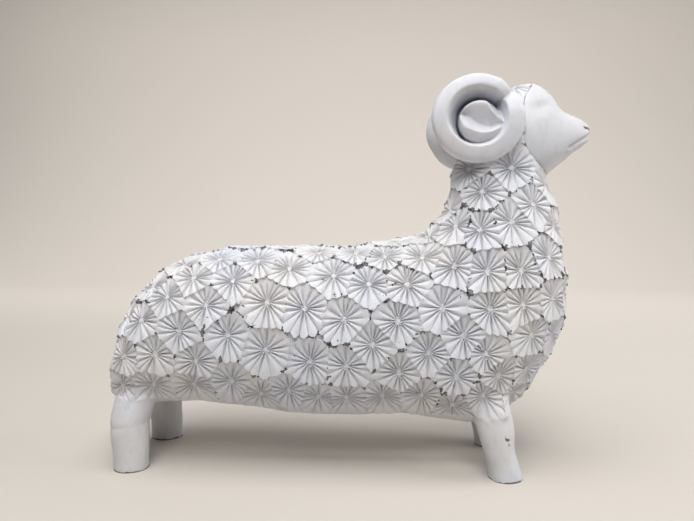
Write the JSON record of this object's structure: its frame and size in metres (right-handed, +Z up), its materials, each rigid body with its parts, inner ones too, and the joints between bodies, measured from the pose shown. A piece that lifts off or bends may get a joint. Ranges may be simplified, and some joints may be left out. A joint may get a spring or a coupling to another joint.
{
  "type": "ram figurine",
  "caption": "Standing ram figurine cast in one piece, with coiled horns, a smooth head, short round legs and a coat of pressed pleated rosettes; stands on its feet as an ornament.",
  "frame": {"origin": "on the floor under the middle of the ram's box", "axes": "+X towards the nose, along the body; +Y to the ram's left; +Z up"},
  "size_m": [0.3672, 0.1166, 0.2899],
  "materials": {
    "white_paint": "matt bluish-white paint over cast resin, grey wash in the grooves, small dark chips"
  },
  "bodies": {
    "root": {"ram": "white_paint"}
  },
  "joints": []
}
